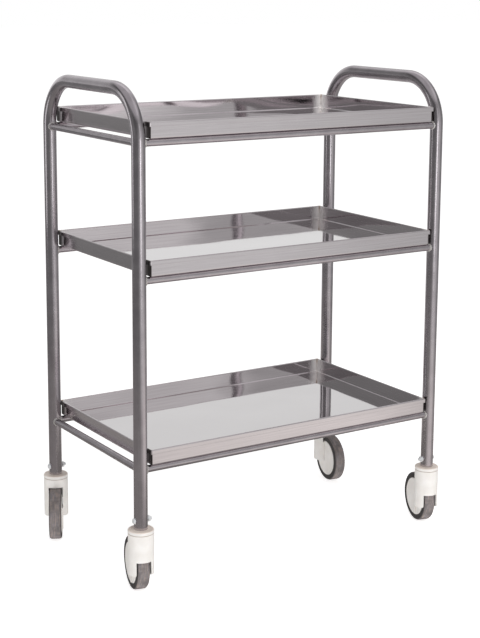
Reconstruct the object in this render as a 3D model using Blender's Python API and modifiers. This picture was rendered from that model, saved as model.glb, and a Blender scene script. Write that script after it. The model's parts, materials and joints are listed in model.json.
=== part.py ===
"""A three-shelf instrument cart on four swivel casters.

Two side frames, each one bent tube, are joined by round rails. Three loose sheet-steel trays rest on
the rails. A caster plugs into the open lower end of each tube and is held there by a cross bolt.
Lengths are in metres and +Z is up. The floor is z = 0 and the cart's front faces -Y.
"""

import math

import bmesh
import bpy
from mathutils import Euler, Vector

GAP = 0.0003  # kept between touching pieces
CUT_MARGIN = 0.01  # how far a cutter reaches past what it cuts
SMALL_CUT_MARGIN = 0.002
WELD_DISTANCE = 0.000001  # points closer than this are one point
SHARP_ANGLE = 35.0

# Side frames: one-inch tube, bent twice, with the handle bar on top.
TUBE_RADIUS = 0.0127
TUBE_WALL = 0.0015
TUBE_SIDES_RESOLUTION = 4
POST_SPACING_X = 0.672
POST_SPACING_Y = 0.358
HANDLE_Z = 0.9213
BEND_RADIUS = 0.089
BEND_STEPS = 6

# Rails: round bar welded between the posts, under the trays.
RAIL_RADIUS = 0.0068
RAIL_SEGMENTS = 12
RAIL_END_GAP = 0.0008  # the top rails meet the posts where the tube starts to bend
RAIL_SADDLE_SEGMENTS = 32
TRAY_LEVELS = {"bottom": 0.2432, "middle": 0.5914, "top": 0.8369}
LEVELS_WITH_SIDE_RAILS = ("bottom", "top")

# Trays: folded sheet with welded corners and a hem turned outwards along the top edge.
TRAY_LENGTH = 0.640
TRAY_DEPTH = 0.380
TRAY_HEIGHT = 0.030
TRAY_SHEET = 0.0012
TRAY_CORNER_RADIUS = 0.003
HEM_HEIGHT = 0.0085
HEM_WIDTH = 0.0027

# Casters: a housing that swivels under a fixed collar, and a wheel between two cheek plates.
WHEEL_RADIUS = 0.050
WHEEL_TRAIL = 0.0295
TYRE_WIDTH = 0.0245
TYRE_INNER_RADIUS = 0.0385
TYRE_SHOULDER = 0.004
WHEEL_SEGMENTS = 24
HUB_RIM_WIDTH = 0.018
HUB_RIM_INNER_RADIUS = 0.031
HUB_WEB_THICKNESS = 0.006
HUB_BOSS_RADIUS = 0.009
HUB_BOSS_WIDTH = 0.0124
AXLE_RADIUS = 0.004
AXLE_LENGTH = 0.0216
AXLE_CLEARANCE = 0.0003
CHEEK_RADIUS = 0.038
CHEEK_THICKNESS = 0.0028
CHEEK_CHAMFER = 0.0006
CHEEK_BOSS_RADIUS = 0.008
CHEEK_BOSS_INNER_Y = 0.0065
CHEEK_PAD_LENGTH = 0.016
CHEEK_PAD_HEIGHT = 0.018
CHEEK_PAD_CENTRE_X = 0.009
CHEEK_PAD_DEPTH_IN_PLATE = 0.0018
COLLAR_RADIUS = 0.0243
COLLAR_TOP_Z = 0.125
COLLAR_BOTTOM_Z = 0.1183
COLLAR_ROUNDING = 0.0025
HOUSING_RADIUS = 0.024
HOUSING_TOP_Z = 0.118
HOUSING_LEG_Z = 0.040
LEG_HALF_LENGTH = 0.0195
LEG_ROUNDING = 0.005
HOUSING_SEGMENTS = 24
SLOT_WIDTH = 0.028
SLOT_TOP_Z = 0.101
SLOT_FRONT_X = -0.0181  # leaves a wall in front of the wheel, from side to side
WINDOW_TOP_Z = 0.0672
BEARING_FLOOR_Z = 0.1052
BEARING_RADIUS = 0.017
PIN_RADIUS = 0.0058
PIN_HOLE_RADIUS = 0.0062
PIN_HEAD_RADIUS = 0.008
PIN_HEAD_BOTTOM_Z = 0.0978
PIN_HEAD_TOP_Z = 0.1007
PLUG_RADIUS = 0.0108
PLUG_TOP_Z = 0.185
TURNED_SEGMENTS = 16

# Cross bolts: M6, heads on the cart's outer sides and nuts on the inner sides.
BOLT_Z = 0.1415
BOLT_RADIUS = 0.003
BOLT_HOLE_RADIUS = 0.0034
BOLT_HEAD_RADIUS = 0.0055
BOLT_HEAD_HEIGHT = 0.004
BOLT_END_BEYOND_NUT = 0.0035
BOLT_CHAMFER = 0.0005
BOLT_SEGMENTS = 10
NUT_RADIUS = 0.0058
NUT_THICKNESS = 0.005

# Corner: side of the cart (x), front or back (y), and the direction its wheel trails in, in degrees.
CORNERS = {
    "front_left": (-1, -1, 77.0),
    "front_right": (1, -1, 76.0),
    "back_left": (-1, 1, -117.5),
    "back_right": (1, 1, -98.8),
}

# Material: base colour, roughness, metallic.
MATERIALS = {
    "frame_steel": ((0.42, 0.42, 0.43), 0.38, 1.0),
    "tray_steel": ((0.68, 0.68, 0.67), 0.16, 1.0),
    "bolt_steel": ((0.72, 0.74, 0.76), 0.22, 1.0),
    "caster_plastic": ((0.86, 0.85, 0.82), 0.42, 0.0),
    "hub_plastic": ((0.72, 0.71, 0.69), 0.50, 0.0),
    "tyre_rubber": ((0.17, 0.15, 0.15), 0.60, 0.0),
    "axle_steel": ((0.55, 0.55, 0.56), 0.30, 1.0),
}


def clear_scene():
    for old in list(bpy.data.objects):
        bpy.data.objects.remove(old, do_unlink=True)


def make_materials():
    made = {}
    for name, (colour, roughness, metallic) in MATERIALS.items():
        material = bpy.data.materials.new(name)
        material.use_nodes = True
        shader = material.node_tree.nodes["Principled BSDF"]
        shader.inputs["Base Color"].default_value = (*colour, 1.0)
        shader.inputs["Roughness"].default_value = roughness
        shader.inputs["Metallic"].default_value = metallic
        made[name] = material
    return made


def temporary(mesh_or_curve):
    """An object in the scene only until frozen() turns it into a plain mesh."""
    obj = bpy.data.objects.new("temporary", mesh_or_curve)
    bpy.context.scene.collection.objects.link(obj)
    return obj


def frozen(obj, name, weld=False):
    """The object's evaluated mesh, in its own space. The object itself is removed."""
    bpy.context.view_layer.update()
    evaluated = obj.evaluated_get(bpy.context.evaluated_depsgraph_get())
    mesh = bpy.data.meshes.new_from_object(evaluated)
    bpy.data.objects.remove(obj, do_unlink=True)
    mesh.name = name
    if weld:
        shape = bmesh.new()
        shape.from_mesh(mesh)
        bmesh.ops.remove_doubles(shape, verts=shape.verts, dist=WELD_DISTANCE)
        bmesh.ops.recalc_face_normals(shape, faces=shape.faces)
        shape.to_mesh(mesh)
        shape.free()
    mesh.shade_smooth()
    mesh.set_sharp_from_angle(angle=math.radians(SHARP_ANGLE))
    return mesh


def mesh_from(shape, name):
    mesh = bpy.data.meshes.new(name)
    shape.to_mesh(mesh)
    shape.free()
    return mesh


def box(low, high):
    """A box between two opposite corners."""
    low, high = Vector(low), Vector(high)
    shape = bmesh.new()
    bmesh.ops.create_cube(shape, size=1.0)
    bmesh.ops.scale(shape, vec=high - low, verts=shape.verts)
    bmesh.ops.translate(shape, vec=(low + high) / 2, verts=shape.verts)
    return mesh_from(shape, "box")


def rounded_box(length, depth, bottom, top, radius):
    """A box centred on the Z axis, its four upright edges rounded."""
    shape = bmesh.new()
    bmesh.ops.create_cube(shape, size=1.0)
    bmesh.ops.scale(shape, vec=(length, depth, top - bottom), verts=shape.verts)
    bmesh.ops.translate(shape, vec=(0, 0, (bottom + top) / 2), verts=shape.verts)
    upright = [e for e in shape.edges if abs(e.verts[0].co.z - e.verts[1].co.z) > WELD_DISTANCE]
    bmesh.ops.bevel(shape, geom=upright, offset=radius, segments=3, profile=0.5, affect="EDGES")
    return mesh_from(shape, "rounded_box")


def cylinder(radius, low, high, segments):
    """A cylinder between two points, with one of its corners facing up or out."""
    low, high = Vector(low), Vector(high)
    shape = bmesh.new()
    bmesh.ops.create_cone(
        shape,
        cap_ends=True,
        segments=segments,
        radius1=radius,
        radius2=radius,
        depth=(high - low).length,
    )
    turn = (high - low).to_track_quat("Z", "Y").to_matrix()
    bmesh.ops.rotate(shape, cent=(0, 0, 0), matrix=turn, verts=shape.verts)
    bmesh.ops.translate(shape, vec=(low + high) / 2, verts=shape.verts)
    return mesh_from(shape, "cylinder")


def turned(name, profile, segments):
    """Turns a profile of (radius, height) points, listed down the outer side, round the Z axis.

    A profile that starts and ends on the axis stays open, and any other one is closed.
    """
    mesh = bpy.data.meshes.new("profile")
    count = len(profile)
    edges = [(i, i + 1) for i in range(count - 1)]
    if profile[0][0] > 0:
        edges.append((count - 1, 0))
    mesh.from_pydata([(radius, 0, height) for radius, height in profile], edges, [])
    obj = temporary(mesh)
    screw = obj.modifiers.new("turn", "SCREW")
    screw.axis = "Z"
    screw.steps = screw.render_steps = segments
    screw.use_merge_vertices = True
    screw.merge_threshold = WELD_DISTANCE
    return frozen(obj, name)


def combined(name, mesh, steps):
    """Adds, subtracts or intersects meshes, given as (operation, mesh) in order."""
    obj = temporary(mesh)
    tools = []
    for operation, tool_mesh in steps:
        tool = temporary(tool_mesh)
        tools.append(tool)
        boolean = obj.modifiers.new(operation.lower(), "BOOLEAN")
        boolean.operation = operation
        boolean.solver = "EXACT"
        boolean.object = tool
    result = frozen(obj, name)
    for tool in tools:
        bpy.data.objects.remove(tool, do_unlink=True)
    return result


def arc(centre, radius, start, end, steps):
    """Points on an arc in a plane, as (across, up) pairs. Angles are in degrees."""
    points = []
    for i in range(steps + 1):
        angle = math.radians(start + (end - start) * i / steps)
        points.append((centre[0] + radius * math.cos(angle), centre[1] + radius * math.sin(angle)))
    return points


def side_frame_mesh():
    """An upside-down U of tube in the YZ plane, open at both ends, with the cross bolts' holes."""
    half = POST_SPACING_Y / 2
    bend_z = HANDLE_Z - BEND_RADIUS
    path = [(-half, COLLAR_TOP_Z + GAP)]
    path += arc((-half + BEND_RADIUS, bend_z), BEND_RADIUS, 180, 90, BEND_STEPS)
    path += arc((half - BEND_RADIUS, bend_z), BEND_RADIUS, 90, 0, BEND_STEPS)
    path.append((half, COLLAR_TOP_Z + GAP))

    curve = bpy.data.curves.new("side_frame_path", "CURVE")
    curve.dimensions = "3D"
    curve.bevel_depth = TUBE_RADIUS
    curve.bevel_resolution = TUBE_SIDES_RESOLUTION
    spline = curve.splines.new("POLY")
    spline.points.add(len(path) - 1)
    for point, (y, z) in zip(spline.points, path):
        point.co = (0, y, z, 1)
    skin = frozen(temporary(curve), "side_frame_skin", weld=True)

    tube = temporary(skin)
    wall = tube.modifiers.new("wall", "SOLIDIFY")
    wall.thickness = TUBE_WALL
    wall.offset = -1
    tube = frozen(tube, "side_frame_tube", weld=True)
    reach = TUBE_RADIUS + CUT_MARGIN
    holes = [
        ("DIFFERENCE", cylinder(BOLT_HOLE_RADIUS, (-reach, y, BOLT_Z), (reach, y, BOLT_Z), BOLT_SEGMENTS))
        for y in (-half, half)
    ]
    return combined("side_frame", tube, holes)


def rail_mesh(name, end):
    """A round bar from -end to end, each end hollowed to fit round its post."""
    end = Vector(end)
    up = Vector((0, 0, RAIL_RADIUS + CUT_MARGIN))
    posts = []
    for foot in (-end, end):
        post = cylinder(TUBE_RADIUS + RAIL_END_GAP, foot - up, foot + up, RAIL_SADDLE_SEGMENTS)
        posts.append(("DIFFERENCE", post))
    return combined(name, cylinder(RAIL_RADIUS, -end, end, RAIL_SEGMENTS), posts)


def tray_mesh():
    """An open tray, its underside at z = 0."""
    walls_length, walls_depth = TRAY_LENGTH - 2 * HEM_WIDTH, TRAY_DEPTH - 2 * HEM_WIDTH
    inner_length, inner_depth = walls_length - 2 * TRAY_SHEET, walls_depth - 2 * TRAY_SHEET
    walls_top = TRAY_HEIGHT - HEM_HEIGHT / 2
    walls = rounded_box(walls_length, walls_depth, 0, walls_top, TRAY_CORNER_RADIUS)
    hem_bottom = TRAY_HEIGHT - HEM_HEIGHT
    hem = rounded_box(TRAY_LENGTH, TRAY_DEPTH, hem_bottom, TRAY_HEIGHT, TRAY_CORNER_RADIUS)
    hollow = rounded_box(inner_length, inner_depth, TRAY_SHEET, 2 * TRAY_HEIGHT, TRAY_CORNER_RADIUS / 2)
    return combined("tray", walls, [("UNION", hem), ("DIFFERENCE", hollow)])


def slab(name, outline, width):
    """A flat outline of (x, z) points, as a slab of the given width, centred on y = 0."""
    curve = bpy.data.curves.new(name, "CURVE")
    curve.dimensions = "2D"
    curve.fill_mode = "BOTH"
    curve.extrude = width / 2
    spline = curve.splines.new("POLY")
    spline.points.add(len(outline) - 1)
    spline.use_cyclic_u = True
    for point, (x, z) in zip(spline.points, outline):
        point.co = (x, z, 0, 1)
    mesh = frozen(temporary(curve), name, weld=True)
    shape = bmesh.new()
    shape.from_mesh(mesh)
    upright = Euler((math.radians(90), 0, 0)).to_matrix()
    bmesh.ops.rotate(shape, cent=(0, 0, 0), matrix=upright, verts=shape.verts)
    shape.to_mesh(mesh)
    shape.free()
    return mesh


def housing_mesh():
    """The swivelling body: a cylinder with a slot for the wheel, which trails towards +X."""
    below, beyond = HOUSING_LEG_Z - CUT_MARGIN, HOUSING_RADIUS + CUT_MARGIN
    above = HOUSING_TOP_Z + CUT_MARGIN
    body = cylinder(HOUSING_RADIUS, (0, 0, below), (0, 0, HOUSING_TOP_Z), HOUSING_SEGMENTS)
    corner_x = LEG_HALF_LENGTH - LEG_ROUNDING
    corner_z = HOUSING_LEG_Z + LEG_ROUNDING
    side_view = [(-beyond, above), (-beyond, corner_z)]
    side_view += arc((-corner_x, corner_z), LEG_ROUNDING, 180, 270, 4)
    side_view += arc((corner_x, corner_z), LEG_ROUNDING, 270, 360, 4)
    side_view += [(beyond, corner_z), (beyond, above)]
    wheel_slot = [
        (-beyond, below),
        (-beyond, WINDOW_TOP_Z),
        (SLOT_FRONT_X, WINDOW_TOP_Z),
        (SLOT_FRONT_X, SLOT_TOP_Z),
        (beyond, SLOT_TOP_Z),
        (beyond, below),
    ]
    hole_bottom = SLOT_TOP_Z - SMALL_CUT_MARGIN
    pocket = turned(
        "bearing_pocket",
        [
            (0, above),
            (BEARING_RADIUS + GAP, above),
            (BEARING_RADIUS + GAP, BEARING_FLOOR_Z),
            (PIN_HOLE_RADIUS, BEARING_FLOOR_Z),
            (PIN_HOLE_RADIUS, hole_bottom),
            (0, hole_bottom),
        ],
        TURNED_SEGMENTS,
    )
    return combined(
        "housing",
        body,
        [
            ("INTERSECT", slab("side_view", side_view, 2 * beyond)),
            ("DIFFERENCE", slab("wheel_slot", wheel_slot, SLOT_WIDTH)),
            ("DIFFERENCE", pocket),
        ],
    )


def stem_mesh():
    """The king pin, with its riveted head, and the plug above it that fills the tube's end."""
    plug_bottom = COLLAR_TOP_Z + GAP
    stem = turned(
        "stem",
        [
            (0, PLUG_TOP_Z),
            (PLUG_RADIUS, PLUG_TOP_Z),
            (PLUG_RADIUS, plug_bottom),
            (PIN_RADIUS, plug_bottom),
            (PIN_RADIUS, PIN_HEAD_TOP_Z),
            (PIN_HEAD_RADIUS, PIN_HEAD_TOP_Z),
            (PIN_HEAD_RADIUS, PIN_HEAD_BOTTOM_Z),
            (0, PIN_HEAD_BOTTOM_Z),
        ],
        TURNED_SEGMENTS,
    )
    reach = PLUG_RADIUS + CUT_MARGIN
    hole = cylinder(BOLT_HOLE_RADIUS, (-reach, 0, BOLT_Z), (reach, 0, BOLT_Z), BOLT_SEGMENTS)
    return combined("stem", stem, [("DIFFERENCE", hole)])


def collar_mesh():
    """The fixed collar that the tube stands on."""
    rounding = arc(
        (COLLAR_RADIUS - COLLAR_ROUNDING, COLLAR_TOP_Z - COLLAR_ROUNDING), COLLAR_ROUNDING, 90, 0, 2
    )
    profile = [(PIN_HOLE_RADIUS, COLLAR_TOP_Z), *rounding]
    profile += [(COLLAR_RADIUS, COLLAR_BOTTOM_Z), (PIN_HOLE_RADIUS, COLLAR_BOTTOM_Z)]
    return turned("collar", profile, HOUSING_SEGMENTS)


def bearing_mesh():
    """The swivel bearing, as one ring round the king pin, in the housing's pocket."""
    top, bottom = HOUSING_TOP_Z - GAP, BEARING_FLOOR_Z + GAP
    profile = [
        (PIN_HOLE_RADIUS, top),
        (BEARING_RADIUS, top),
        (BEARING_RADIUS, bottom),
        (PIN_HOLE_RADIUS, bottom),
    ]
    return turned("bearing", profile, TURNED_SEGMENTS)


def cheek_mesh():
    """A round plate fixed inside a leg, which carries one end of the axle in a blind hole.

    Z is the axle's direction, outwards. The pad reaches from the plate to the leg.
    """
    face = TYRE_WIDTH / 2
    back = face - CHEEK_THICKNESS
    bore = AXLE_RADIUS + AXLE_CLEARANCE
    plate = turned(
        "cheek",
        [
            (0, face),
            (CHEEK_RADIUS - CHEEK_CHAMFER, face),
            (CHEEK_RADIUS, face - CHEEK_CHAMFER),
            (CHEEK_RADIUS, back),
            (CHEEK_BOSS_RADIUS, back),
            (CHEEK_BOSS_RADIUS, CHEEK_BOSS_INNER_Y),
            (bore, CHEEK_BOSS_INNER_Y),
            (bore, AXLE_LENGTH / 2 + GAP),
            (0, AXLE_LENGTH / 2 + GAP),
        ],
        WHEEL_SEGMENTS,
    )
    pad_x = CHEEK_PAD_CENTRE_X - WHEEL_TRAIL
    half_length, half_height = CHEEK_PAD_LENGTH / 2, CHEEK_PAD_HEIGHT / 2
    pad = box(
        (pad_x - half_length, -half_height, face - CHEEK_PAD_DEPTH_IN_PLATE),
        (pad_x + half_length, half_height, SLOT_WIDTH / 2 - GAP),
    )
    return combined("cheek", plate, [("UNION", pad)])


def hub_mesh():
    """The wheel's plastic core: a rim for the tyre, a web and a boss on the axle."""
    bore = AXLE_RADIUS + AXLE_CLEARANCE
    rim_outer = TYRE_INNER_RADIUS - GAP
    rim, web, boss = HUB_RIM_WIDTH / 2, HUB_WEB_THICKNESS / 2, HUB_BOSS_WIDTH / 2
    upper = [
        (bore, boss),
        (HUB_BOSS_RADIUS, boss),
        (HUB_BOSS_RADIUS, web),
        (HUB_RIM_INNER_RADIUS, web),
        (HUB_RIM_INNER_RADIUS, rim),
        (rim_outer, rim),
    ]
    lower = [(radius, -height) for radius, height in reversed(upper)]
    return turned("hub", upper + lower, WHEEL_SEGMENTS)


def tyre_mesh():
    """The solid tyre, with rounded shoulders."""
    side = TYRE_WIDTH / 2
    shoulder = arc((WHEEL_RADIUS - TYRE_SHOULDER, side - TYRE_SHOULDER), TYRE_SHOULDER, 90, 0, 2)
    upper = [(TYRE_INNER_RADIUS, side), *shoulder]
    lower = [(radius, -height) for radius, height in reversed(upper)]
    return turned("tyre", upper + lower, WHEEL_SEGMENTS)


def bolt_mesh():
    """The cross bolt, along Z: domed head below z = -TUBE_RADIUS, thread end above."""
    head_face = -TUBE_RADIUS - GAP
    end = TUBE_RADIUS + 2 * GAP + NUT_THICKNESS + BOLT_END_BEYOND_NUT
    profile = [
        (0, end),
        (BOLT_RADIUS - BOLT_CHAMFER, end),
        (BOLT_RADIUS, end - BOLT_CHAMFER),
        (BOLT_RADIUS, head_face),
        (BOLT_HEAD_RADIUS, head_face),
        (BOLT_HEAD_RADIUS, head_face - 0.25 * BOLT_HEAD_HEIGHT),
        (0.8 * BOLT_HEAD_RADIUS, head_face - 0.75 * BOLT_HEAD_HEIGHT),
        (0.4 * BOLT_HEAD_RADIUS, head_face - BOLT_HEAD_HEIGHT),
        (0, head_face - BOLT_HEAD_HEIGHT),
    ]
    return turned("cross_bolt", profile, BOLT_SEGMENTS)


def nut_mesh():
    """The hexagon nut, along Z, against the tube."""
    bottom = TUBE_RADIUS + GAP
    top = bottom + NUT_THICKNESS
    hexagon = cylinder(NUT_RADIUS, (0, 0, bottom), (0, 0, top), 6)
    bore_ends = (0, 0, bottom - SMALL_CUT_MARGIN), (0, 0, top + SMALL_CUT_MARGIN)
    bore = cylinder(BOLT_RADIUS + GAP, *bore_ends, BOLT_SEGMENTS)
    return combined("nut", hexagon, [("DIFFERENCE", bore)])


def empty(name, location, rotation, parent, collection):
    """An axis for moving pieces: a swivel or a wheel's axle."""
    obj = bpy.data.objects.new(name, None)
    obj.empty_display_size = 0.03
    obj.location = location
    obj.rotation_euler = rotation
    obj.parent = parent
    collection.objects.link(obj)
    return obj


def piece(name, mesh, material, parent, collection, location=(0, 0, 0), rotation=(0, 0, 0)):
    """One sub-part of the cart. Copies of a repeated sub-part share a mesh."""
    if not mesh.materials:
        mesh.materials.append(material)
    obj = bpy.data.objects.new(name, mesh)
    obj.location = location
    obj.rotation_euler = rotation
    obj.parent = parent
    collection.objects.link(obj)
    return obj


def add_frame(origin, materials, collection):
    steel = materials["frame_steel"]
    half_x, half_y = POST_SPACING_X / 2, POST_SPACING_Y / 2
    side_frame = side_frame_mesh()
    long_rail = rail_mesh("long_rail", (half_x, 0, 0))
    side_rail = rail_mesh("side_rail", (0, half_y, 0))
    for side, x in (("left", -half_x), ("right", half_x)):
        piece(f"side_frame_{side}", side_frame, steel, origin, collection, (x, 0, 0))
    for level, tray_z in TRAY_LEVELS.items():
        rail_z = tray_z - GAP - RAIL_RADIUS
        for side, y in (("front", -half_y), ("back", half_y)):
            piece(f"{level}_rail_{side}", long_rail, steel, origin, collection, (0, y, rail_z))
        if level in LEVELS_WITH_SIDE_RAILS:
            for side, x in (("left", -half_x), ("right", half_x)):
                piece(f"{level}_rail_{side}", side_rail, steel, origin, collection, (x, 0, rail_z))


def add_trays(origin, materials, collection):
    tray = tray_mesh()
    for level, tray_z in TRAY_LEVELS.items():
        piece(f"tray_{level}", tray, materials["tray_steel"], origin, collection, (0, 0, tray_z))


def add_casters(origin, materials, collection):
    """Each caster's fixed pieces, swivelling pieces and wheel, placed by its swivel and wheel axes."""
    upright = math.radians(90)
    fixed = {"stem": (stem_mesh(), "axle_steel"), "collar": (collar_mesh(), "caster_plastic")}
    swivelling = {"bearing": (bearing_mesh(), "axle_steel"), "housing": (housing_mesh(), "caster_plastic")}
    rolling = {"hub": (hub_mesh(), "hub_plastic"), "tyre": (tyre_mesh(), "tyre_rubber")}
    cheek, bolt, nut = cheek_mesh(), bolt_mesh(), nut_mesh()
    axle_ends = (0, 0, -AXLE_LENGTH / 2), (0, 0, AXLE_LENGTH / 2)
    axle = frozen(temporary(cylinder(AXLE_RADIUS, *axle_ends, BOLT_SEGMENTS)), "axle")

    for corner, (side_x, side_y, trail_direction) in CORNERS.items():
        prefix = f"{corner}_caster"
        post = (side_x * POST_SPACING_X / 2, side_y * POST_SPACING_Y / 2, 0)
        swivel = empty(
            f"{prefix}_swivel", post, (0, 0, math.radians(trail_direction)), origin, collection
        )
        wheel = empty(
            f"{prefix}_wheel", (WHEEL_TRAIL, 0, WHEEL_RADIUS), (upright, 0, 0), swivel, collection
        )
        for name, (mesh, material) in fixed.items():
            piece(f"{prefix}_{name}", mesh, materials[material], origin, collection, post)
        for name, (mesh, material) in swivelling.items():
            piece(f"{prefix}_{name}", mesh, materials[material], swivel, collection)
        for name, (mesh, material) in rolling.items():
            piece(f"{prefix}_{name}", mesh, materials[material], wheel, collection)
        piece(f"{prefix}_axle", axle, materials["axle_steel"], wheel, collection)
        plastic = materials["caster_plastic"]
        piece(f"{prefix}_right_cheek", cheek, plastic, wheel, collection)
        piece(f"{prefix}_left_cheek", cheek, plastic, wheel, collection, rotation=(2 * upright, 0, 0))

        # The bolt and nut lie along X, and their own +Z end faces the middle of the cart.
        bolt_place = (post[0], post[1], BOLT_Z)
        inwards = (0, -side_x * upright, 0)
        for name, mesh in (("cross_bolt", bolt), ("bolt_nut", nut)):
            piece(
                f"{corner}_{name}", mesh, materials["bolt_steel"], origin, collection, bolt_place, inwards
            )


def centre_over_origin(origin, collection):
    """Moves the whole cart so that the middle of its box stands on the world's origin."""
    bpy.context.view_layer.update()
    corners = [
        obj.matrix_world @ vertex.co
        for obj in collection.objects
        if obj.type == "MESH"
        for vertex in obj.data.vertices
    ]
    for axis in (0, 1):
        values = [corner[axis] for corner in corners]
        origin.location[axis] = -round((min(values) + max(values)) / 2, 4)
    bpy.context.view_layer.update()


def main():
    clear_scene()
    collection = bpy.data.collections.new("instrument_cart")
    bpy.context.scene.collection.children.link(collection)
    origin = empty("cart_origin", (0, 0, 0), (0, 0, 0), None, collection)
    materials = make_materials()
    add_frame(origin, materials, collection)
    add_trays(origin, materials, collection)
    add_casters(origin, materials, collection)
    centre_over_origin(origin, collection)


main()
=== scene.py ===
"""The looks of a three-tray instrument cart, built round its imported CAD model.

Every CAD node is replaced by a finer piece in the same place: smooth bent tubes, coped rails with
weld beads, folded trays with a hem, and rounded caster parts. Lengths are in metres.
"""

import json
import math

import bmesh
import bpy
from mathutils import Matrix, Vector


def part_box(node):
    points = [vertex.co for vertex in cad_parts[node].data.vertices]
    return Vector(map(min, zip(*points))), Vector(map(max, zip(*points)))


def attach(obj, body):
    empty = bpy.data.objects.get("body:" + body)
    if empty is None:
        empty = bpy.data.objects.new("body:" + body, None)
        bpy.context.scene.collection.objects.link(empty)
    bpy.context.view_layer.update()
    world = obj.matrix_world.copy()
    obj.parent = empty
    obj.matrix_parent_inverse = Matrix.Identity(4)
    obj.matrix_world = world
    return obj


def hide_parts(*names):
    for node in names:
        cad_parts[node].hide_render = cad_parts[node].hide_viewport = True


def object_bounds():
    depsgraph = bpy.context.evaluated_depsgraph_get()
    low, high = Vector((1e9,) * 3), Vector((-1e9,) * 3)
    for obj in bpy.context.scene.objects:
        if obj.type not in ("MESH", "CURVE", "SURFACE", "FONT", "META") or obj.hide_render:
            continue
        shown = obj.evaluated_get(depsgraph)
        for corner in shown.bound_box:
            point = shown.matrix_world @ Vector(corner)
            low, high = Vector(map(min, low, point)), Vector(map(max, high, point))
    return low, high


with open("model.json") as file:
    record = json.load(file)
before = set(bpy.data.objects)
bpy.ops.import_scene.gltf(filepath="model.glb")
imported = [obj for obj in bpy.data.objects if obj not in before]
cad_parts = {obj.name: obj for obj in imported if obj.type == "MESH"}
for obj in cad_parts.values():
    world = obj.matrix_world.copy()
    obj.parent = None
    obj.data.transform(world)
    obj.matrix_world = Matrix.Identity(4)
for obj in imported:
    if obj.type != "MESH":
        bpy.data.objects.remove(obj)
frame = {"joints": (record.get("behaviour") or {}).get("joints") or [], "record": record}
cad_low, cad_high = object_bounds()

MM = 0.001

# Tubes and rails.
TUBE_WALL = 1.5 * MM
TUBE_SIDES = 48
BEND_RADIUS = 89 * MM
BEND_STEPS = 24
RAIL_SIDES = 32
RAIL_BITE = 0.2 * MM  # how far a rail's end runs into its weld
BOLT_CUTTER_REACH = 20 * MM
BEAD_RADIUS = 1.7 * MM
BEAD_STEPS = 72
BEAD_SIDES = 10

# Trays.
TRAY_SHEET = 1.2 * MM
TRAY_CORNER = 3.0 * MM
TRAY_INNER_CORNER = 1.2 * MM
TRAY_BEND = 1.8 * MM
HEM_WIDTH = 2.7 * MM
HEM_HEIGHT = 8.5 * MM
HEM_GROOVE_DEPTH = 2.0 * MM
TRAY_FLOOR_BAND = 12 * MM  # the flat strip between the wall's bend and the one face of the floor
# Painted shade and dark reflection of the post lie on the end walls beside the posts, by distance from the
# tray's end and from its front.
POST_SHADE_FROM_END = (4.2 * MM, 5.0 * MM)
POST_SHADE_FRONT_EDGE = (0.8 * MM, 1.8 * MM)
POST_SHADE_BACK_EDGE = (12 * MM, 26 * MM)
# The ground band of a corner's weld, painted near white as a painted highlight, and the heat tint, by
# distance from the corner.
GROUND_HIGHLIGHT_BAND = (-2 * MM, 24 * MM)
WELD_TINT = (8.0 * MM, 9.8 * MM)

# Casters, each modelled with its swivel axis on Z and its wheel trailing towards +X.
ROUND_SEGMENTS = 96
SMALL_SEGMENTS = 48
GAP = 0.3 * MM
HOUSING_RADIUS = 24 * MM
COLLAR_RADIUS = 24.3 * MM
PLUG_RADIUS = 10.8 * MM
BEARING_RADIUS = 17 * MM
SLOT_HALF_WIDTH = 14 * MM
SLOT_TOP_Z = 101 * MM
SLOT_FRONT_X = -18.1 * MM
WINDOW_TOP_Z = 67.2 * MM
LEG_HALF_LENGTH = 19.5 * MM
LEG_ROUNDING = 5 * MM
HOUSING_EDGE = 0.7 * MM
CUTTER_MARGIN = 10 * MM  # how far a cutter reaches past what it cuts
DIMPLE_RADIUS = 2 * MM
DIMPLE_DEPTH = 1.5 * MM
DIMPLE_RISE = 3.5 * MM
POCKET_RADIUS = 17.3 * MM
POCKET_FLOOR_Z = 105.2 * MM
PIN_HOLE_RADIUS = 6.2 * MM
PIN_RADIUS = 5.8 * MM
PIN_HEAD_RADIUS = 8 * MM
PIN_HEAD_TOP_Z = 100.7 * MM
COLLAR_ROUNDING = 2.5 * MM
TYRE_INNER_RADIUS = 38.5 * MM
TYRE_SHOULDER = 4.5 * MM
TYRE_HALF_WIDTH = 12.25 * MM
CHEEK_RADIUS = 38 * MM
CHEEK_BACK = 9.45 * MM
CHEEK_ROOT = 10.45 * MM  # where the pad and the rib start, inside the plate
CHEEK_EDGE = 0.3 * MM
# The pad under the leg and the rib beside it, as (left, right, bottom, top, outer face).
CHEEK_BLOCKS = (
    (-28.5 * MM, -10.5 * MM, -9 * MM, 9 * MM, 13.7 * MM),
    (-9.7 * MM, -6.5 * MM, -9 * MM, 35 * MM, 14.5 * MM),
)
CHEEK_BOSS_RADIUS = 8 * MM
CHEEK_BOSS_INNER = 6.5 * MM
AXLE_RADIUS = 4 * MM
AXLE_HALF_LENGTH = 10.8 * MM
AXLE_BORE = 4.3 * MM
HUB_BOSS_RADIUS = 9 * MM
HUB_BOSS_HALF_WIDTH = 6.2 * MM
HUB_RIM_INNER_RADIUS = 31 * MM
HUB_RIM_HALF_WIDTH = 9 * MM
HUB_WEB_HALF_WIDTH = 3 * MM

# Painted shade in the line between collar and housing and, in blotches, on the collar's top. Painted light
# on the collar's top face makes it warmer.
JOINT_LINE_Z = 118.15 * MM
JOINT_SHADE = (0.2 * MM, 1.3 * MM)
COLLAR_TOP_SHADE = (123.2 * MM, 125.0 * MM)
COLLAR_TOP_LIGHT = (122.8 * MM, 124.8 * MM)
PAINTED_SHADE_BROWN = (0.46, 0.375, 0.325)
LIT_TOP_CREAM = (0.90, 0.79, 0.71)
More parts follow.
